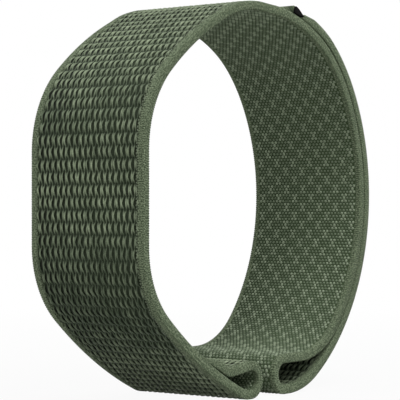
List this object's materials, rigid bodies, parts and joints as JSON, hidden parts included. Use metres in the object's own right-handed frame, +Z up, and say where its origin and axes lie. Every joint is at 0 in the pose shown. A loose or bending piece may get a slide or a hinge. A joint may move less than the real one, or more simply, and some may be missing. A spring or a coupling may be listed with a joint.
{
  "type": "hook and loop watch strap",
  "caption": "Woven watch strap closed in an upright loop, with lug eyelets and a hook and loop tail that peels open.",
  "frame": {"origin": "bottom centre of the strap's box, where it stands on its two folds", "axes": "+Z up; Y along the ribbon's width, -Y the edge nearest the camera; +X towards the side with the tail"},
  "size_m": [0.0628, 0.022, 0.0634],
  "materials": {
    "pile_cloth": "matt loop pile",
    "lining_cloth": "fine matt knit",
    "selvedge_cloth": "smooth matt weave",
    "thread": "slight sheen",
    "hook_plastic": "moulded, matt",
    "tip_plastic": "moulded, satin"
  },
  "bodies": {
    "loop": {"band_face_ply": "pile_cloth", "band_lining_ply": "lining_cloth", "band_near_selvedge": "selvedge_cloth", "band_far_selvedge": "selvedge_cloth", "fixed_end_face_ply": "pile_cloth", "fixed_end_lining_ply": "lining_cloth", "fixed_end_near_selvedge": "selvedge_cloth", "fixed_end_far_selvedge": "selvedge_cloth", "lug_fold_face_ply": "pile_cloth", "lug_fold_lining_ply": "lining_cloth", "lug_fold_near_selvedge": "selvedge_cloth", "lug_fold_far_selvedge": "selvedge_cloth", "fixed_end_tack": "thread"},
    "tail_lower": {"tail_lower_face_ply": "pile_cloth", "tail_lower_lining_ply": "lining_cloth", "tail_lower_near_selvedge": "selvedge_cloth", "tail_lower_far_selvedge": "selvedge_cloth"},
    "tail_middle": {"tail_middle_face_ply": "pile_cloth", "tail_middle_lining_ply": "lining_cloth", "tail_middle_near_selvedge": "selvedge_cloth", "tail_middle_far_selvedge": "selvedge_cloth"},
    "tab": {"tab_face_ply": "pile_cloth", "tab_lining_ply": "lining_cloth", "tab_near_selvedge": "selvedge_cloth", "tab_far_selvedge": "selvedge_cloth", "hook_patch": "hook_plastic", "hook_patch_seam": "thread", "tip_core": "tip_plastic", "tip_cover": "selvedge_cloth"}
  },
  "joints": [
    {"name": "tail_swing", "type": "hinge", "parent": "loop", "child": "tail_lower", "pos_m": [0.0225, 0, 0.0089], "axis": [0, 1, 0], "range_deg": [0, 40]},
    {"name": "tail_flex", "type": "hinge", "parent": "tail_lower", "child": "tail_middle", "pos_m": [0.031, 0, 0.02704], "axis": [0, 1, 0], "range_deg": [0, 55]},
    {"name": "tab_peel", "type": "hinge", "parent": "tail_middle", "child": "tab", "pos_m": [0.02824, 0, 0.04688], "axis": [0, 1, 0], "range_deg": [0, 80]}
  ]
}
